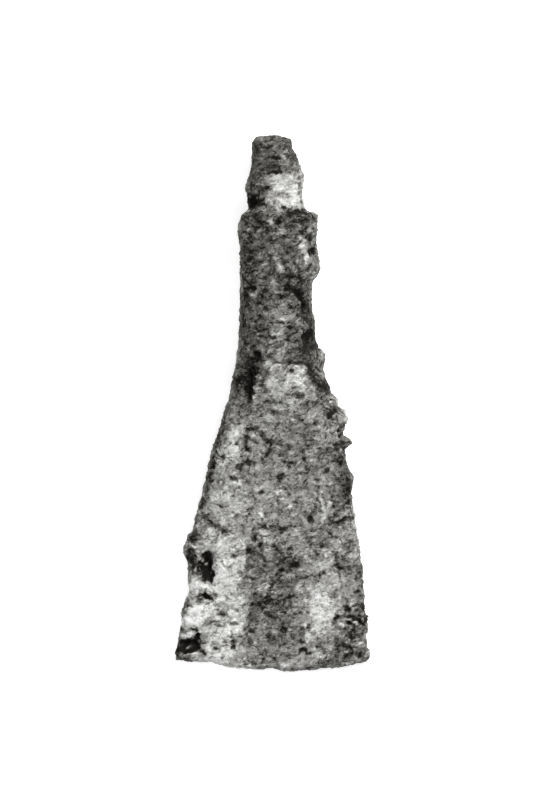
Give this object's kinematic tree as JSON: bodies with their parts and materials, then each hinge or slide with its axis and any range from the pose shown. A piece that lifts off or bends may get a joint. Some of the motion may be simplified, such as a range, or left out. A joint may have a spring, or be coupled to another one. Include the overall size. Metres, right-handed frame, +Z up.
{
  "type": "iron wedge",
  "caption": "Corroded ancient iron wedge: a broad thin blade rises through a sloping shoulder to a squared shank with a broken-off stump. Lies on its back.",
  "frame": {"origin": "middle of the underside of the bounding box, on the surface that the wedge lies on", "axes": "+Y along the wedge from its cutting edge to its broken tip, +Z up out of its front face, +X to the right as seen from the front"},
  "size_m": [0.0472, 0.1302, 0.0155],
  "materials": {
    "iron": "corroded"
  },
  "bodies": {
    "root": {"iron_wedge": "iron"}
  },
  "joints": []
}
